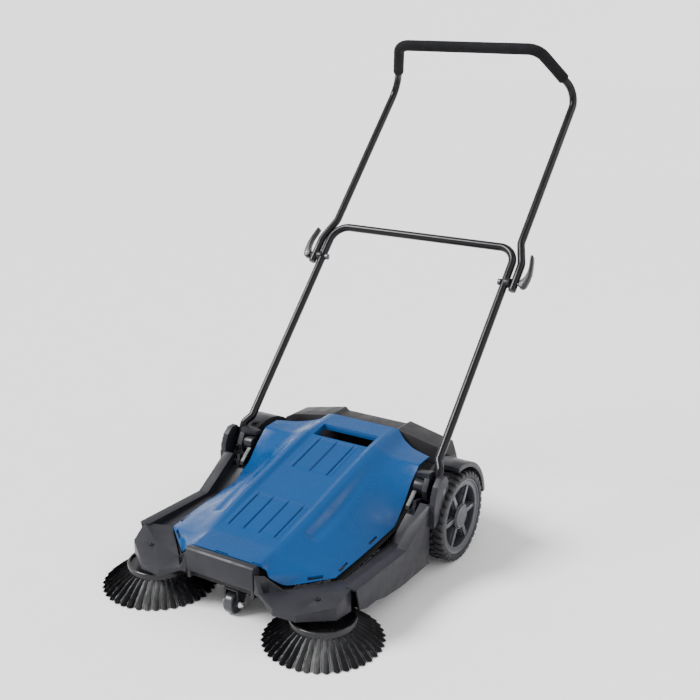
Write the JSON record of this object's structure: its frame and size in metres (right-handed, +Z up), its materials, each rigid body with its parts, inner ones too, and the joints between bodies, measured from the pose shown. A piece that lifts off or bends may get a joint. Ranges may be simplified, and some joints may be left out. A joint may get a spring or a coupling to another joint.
{
  "type": "manual push sweeper",
  "caption": "Walk-behind manual floor sweeper with conical side brushes, geared drive wheels, a clip-on hood, a lift-out waste container and a folding tubular push handle.",
  "frame": {"origin": "middle of the machine's footprint box, on the floor that the wheels stand on", "axes": "+X across the machine along the wheel axles, -Y the way it is pushed (front), +Y towards the person pushing, +Z up"},
  "size_m": [0.7, 1.265, 1.1525],
  "materials": {
    "hood_blue": "satin injection-moulded plastic, blue",
    "chassis_plastic": "fine-textured charcoal plastic",
    "trim_black": "black plastic, satin",
    "wheel_plastic": "dark grey plastic",
    "hub_grey": "mid grey plastic",
    "tyre": "soft dark tread",
    "gear_plastic": "natural nylon",
    "bush_plastic": "natural acetal",
    "belt_rubber": "round drive belt",
    "ramp_rubber": "flexible lip",
    "steel": "zinc-plated steel",
    "steel_dark": "black oxide steel",
    "screw_black": "black socket screws",
    "tube_black": "gloss black powder coat",
    "foam_black": "closed-cell foam sleeve",
    "bristle_black": "nylon bristles",
    "caster_grey": "grey plastic roller"
  },
  "bodies": {
    "chassis": {"side_frame_left": "chassis_plastic", "side_frame_right": "chassis_plastic", "brush_housing": "chassis_plastic", "hood": "hood_blue", "front_bar": "chassis_plastic", "dirt_ramp": "ramp_rubber", "hood_clips": "trim_black", "frame_screws": "screw_black", "wheel_axle_left": "steel", "wheel_axle_right": "steel", "axle_clips": "steel", "roller_bushes": "bush_plastic", "spindle_bushes": "bush_plastic", "belt_left": "belt_rubber", "belt_right": "belt_rubber", "pivot_bolt_left": "steel_dark", "pivot_bolt_right": "steel_dark", "caster_socket": "bush_plastic"},
    "wheel_left": {"wheel_tyre_left": "tyre", "wheel_rim_left": "wheel_plastic", "hub_cap_left": "hub_grey", "ring_gear_left": "gear_plastic"},
    "wheel_right": {"wheel_tyre_right": "tyre", "wheel_rim_right": "wheel_plastic", "hub_cap_right": "hub_grey", "ring_gear_right": "gear_plastic"},
    "roller": {"roller_shaft": "steel", "roller_core": "trim_black", "roller_bristles": "bristle_black", "pinion_right": "gear_plastic", "drive_pulleys": "gear_plastic"},
    "freewheel_pinion": {"pinion_left": "gear_plastic"},
    "side_brush_left": {"side_brush_hub_left": "trim_black", "side_brush_bristles_left": "bristle_black", "side_brush_spindle_left": "steel", "spindle_pulley_left": "gear_plastic"},
    "side_brush_right": {"side_brush_hub_right": "trim_black", "side_brush_bristles_right": "bristle_black", "side_brush_spindle_right": "steel", "spindle_pulley_right": "gear_plastic"},
    "caster_swivel": {"caster_fork": "steel_dark", "caster_axle": "steel"},
    "caster_wheel": {"caster_wheel": "caster_grey"},
    "lower_handle": {"lower_handle_frame": "tube_black", "handle_plug_left": "trim_black", "handle_plug_right": "trim_black", "joint_bolts": "steel_dark", "joint_saddles": "trim_black"},
    "upper_handle": {"upper_handle_frame": "tube_black", "foam_grip": "foam_black"},
    "clamp_left": {"clamp_knob_left": "trim_black"},
    "clamp_right": {"clamp_knob_right": "trim_black"},
    "lever_left": {"quick_lever_left": "trim_black"},
    "lever_right": {"quick_lever_right": "trim_black"},
    "container": {"waste_container": "chassis_plastic", "container_grip": "trim_black"}
  },
  "joints": [
    {"name": "wheel_left_spin", "type": "hinge", "parent": "chassis", "child": "wheel_left", "pos_m": [-0.284, -0.04149, 0.108], "axis": [1, 0, 0], "continuous": true},
    {"name": "wheel_right_spin", "type": "hinge", "parent": "chassis", "child": "wheel_right", "pos_m": [0.284, -0.04149, 0.108], "axis": [1, 0, 0], "continuous": true},
    {"name": "roller_spin", "type": "hinge", "parent": "chassis", "child": "roller", "pos_m": [0, -0.09148, 0.0904], "axis": [1, 0, 0], "continuous": true},
    {"name": "freewheel_spin", "type": "hinge", "parent": "chassis", "child": "freewheel_pinion", "pos_m": [-0.2665, -0.09148, 0.0904], "axis": [1, 0, 0], "continuous": true},
    {"name": "side_brush_left_spin", "type": "hinge", "parent": "chassis", "child": "side_brush_left", "pos_m": [-0.219, -0.50148, 0.048], "axis": [0, 0, 1], "continuous": true},
    {"name": "side_brush_right_spin", "type": "hinge", "parent": "chassis", "child": "side_brush_right", "pos_m": [0.219, -0.50148, 0.048], "axis": [0, 0, 1], "continuous": true},
    {"name": "caster_swivel_turn", "type": "hinge", "parent": "chassis", "child": "caster_swivel", "pos_m": [0, -0.49649, 0.06], "axis": [0, 0, 1], "continuous": true},
    {"name": "caster_wheel_spin", "type": "hinge", "parent": "caster_swivel", "child": "caster_wheel", "pos_m": [0, -0.51648, 0.025], "axis": [1, 0, 0], "continuous": true},
    {"name": "handle_fold", "type": "hinge", "parent": "chassis", "child": "lower_handle", "pos_m": [0, -0.12348, 0.201], "axis": [1, 0, 0], "range_deg": [-8, 115]},
    {"name": "upper_handle_fold", "type": "hinge", "parent": "lower_handle", "child": "upper_handle", "pos_m": [0, 0.24029, 0.60364], "axis": [-1, 0, 0], "range_deg": [0, 90]},
    {"name": "clamp_left_turn", "type": "hinge", "parent": "chassis", "child": "clamp_left", "pos_m": [-0.24, -0.12348, 0.201], "axis": [-1, 0, 0], "range_deg": [0, 90]},
    {"name": "clamp_right_turn", "type": "hinge", "parent": "chassis", "child": "clamp_right", "pos_m": [0.24, -0.12348, 0.201], "axis": [-1, 0, 0], "range_deg": [0, 90]},
    {"name": "lever_left_flip", "type": "hinge", "parent": "lower_handle", "child": "lever_left", "pos_m": [-0.31, 0.24029, 0.60364], "axis": [0, -0.7278, 0.6858], "range_deg": [0, 150]},
    {"name": "lever_right_flip", "type": "hinge", "parent": "lower_handle", "child": "lever_right", "pos_m": [0.31, 0.24029, 0.60364], "axis": [0, 0.7278, -0.6858], "range_deg": [0, 150]},
    {"name": "container_lift", "type": "slide", "parent": "chassis", "child": "container", "axis": [0, 0, 1], "range_m": [0, 0.23]}
  ],
  "couplings": [
    {"joint": "roller_spin", "follows": "wheel_right_spin", "ratio": 4.1176},
    {"joint": "freewheel_spin", "follows": "wheel_left_spin", "ratio": 4.1176},
    {"joint": "side_brush_right_spin", "follows": "wheel_right_spin", "ratio": -2.6854},
    {"joint": "side_brush_left_spin", "follows": "wheel_right_spin", "ratio": 2.6854}
  ]
}
